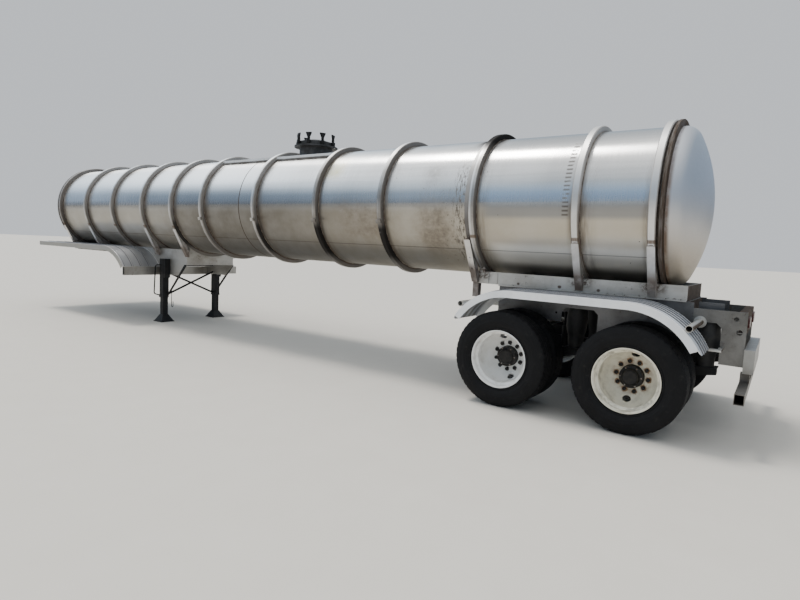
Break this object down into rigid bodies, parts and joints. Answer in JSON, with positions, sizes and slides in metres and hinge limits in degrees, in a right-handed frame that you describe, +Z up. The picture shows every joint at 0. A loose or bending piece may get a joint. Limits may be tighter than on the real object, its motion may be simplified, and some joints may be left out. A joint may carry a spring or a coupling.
{
  "type": "tank semi-trailer",
  "caption": "Cylindrical ring-stiffened tank semi-trailer on twin-wheel tandem axles, with landing legs, kingpin coupling, side wings and a hinged manway lid.",
  "frame": {"origin": "on the ground, at the middle of the overall length and width", "axes": "+X forward, towards the kingpin; +Y to the trailer's left; +Z up"},
  "size_m": [13.09, 2.443, 3.2503],
  "materials": {
    "tank_shell": "brushed stainless, weathered",
    "ring_steel": "satin stainless, brown staining on the sides",
    "frame_steel": "dull stainless, stained",
    "dark_steel": "matt black paint, rusty at the edges",
    "wing_sheet": "bright ribbed sheet",
    "wheel_white": "white paint, rusty at the studs",
    "hub_black": "black paint, greasy",
    "tyre_rubber": "matt black rubber",
    "spring_rubber": "matt black rubber",
    "lamp_red": "gloss lens"
  },
  "bodies": {
    "chassis": {"tank_barrel": "tank_shell", "tank_head_front": "tank_shell", "tank_head_rear": "tank_shell", "stiffener_rings": "ring_steel", "ring_struts": "ring_steel", "overturn_rails": "ring_steel", "manway_neck": "dark_steel", "manway_clamps": "dark_steel", "front_frame": "frame_steel", "coupler_plate": "dark_steel", "kingpin": "dark_steel", "front_wing_left": "wing_sheet", "front_wing_right": "wing_sheet", "wing_beam": "frame_steel", "landing_legs": "dark_steel", "landing_feet": "dark_steel", "landing_braces": "dark_steel", "landing_crank": "dark_steel", "saddle_frame": "frame_steel", "suspension_frame": "frame_steel", "rear_end_frame": "frame_steel", "bumper_beam": "frame_steel", "underride_guard": "frame_steel", "fender_left": "wing_sheet", "fender_right": "wing_sheet", "fender_pipes": "frame_steel", "axles": "dark_steel", "suspension_arms": "dark_steel", "air_springs": "spring_rubber", "brake_chambers": "dark_steel", "outlet_pipe": "frame_steel", "tail_lamps": "lamp_red"},
    "lid": {"manway_lid": "dark_steel"},
    "wheels_front_left": {"tires_front_left": "tyre_rubber", "wheel_discs_front_left": "wheel_white", "hub_front_left": "hub_black"},
    "wheels_front_right": {"tires_front_right": "tyre_rubber", "wheel_discs_front_right": "wheel_white", "hub_front_right": "hub_black"},
    "wheels_rear_left": {"tires_rear_left": "tyre_rubber", "wheel_discs_rear_left": "wheel_white", "hub_rear_left": "hub_black"},
    "wheels_rear_right": {"tires_rear_right": "tyre_rubber", "wheel_discs_rear_right": "wheel_white", "hub_rear_right": "hub_black"}
  },
  "joints": [
    {"name": "spin_front_left", "type": "hinge", "parent": "chassis", "child": "wheels_front_left", "pos_m": [-4.37, 0.915, 0.4955], "axis": [0, 1, 0], "continuous": true},
    {"name": "spin_front_right", "type": "hinge", "parent": "chassis", "child": "wheels_front_right", "pos_m": [-4.37, -0.915, 0.4955], "axis": [0, 1, 0], "continuous": true},
    {"name": "spin_rear_left", "type": "hinge", "parent": "chassis", "child": "wheels_rear_left", "pos_m": [-5.615, 0.915, 0.4955], "axis": [0, 1, 0], "continuous": true},
    {"name": "spin_rear_right", "type": "hinge", "parent": "chassis", "child": "wheels_rear_right", "pos_m": [-5.615, -0.915, 0.4955], "axis": [0, 1, 0], "continuous": true},
    {"name": "lid_hinge", "type": "hinge", "parent": "chassis", "child": "lid", "pos_m": [-0.535, -0.31, 3.119], "axis": [1, 0, 0], "range_deg": [0, 100]}
  ]
}
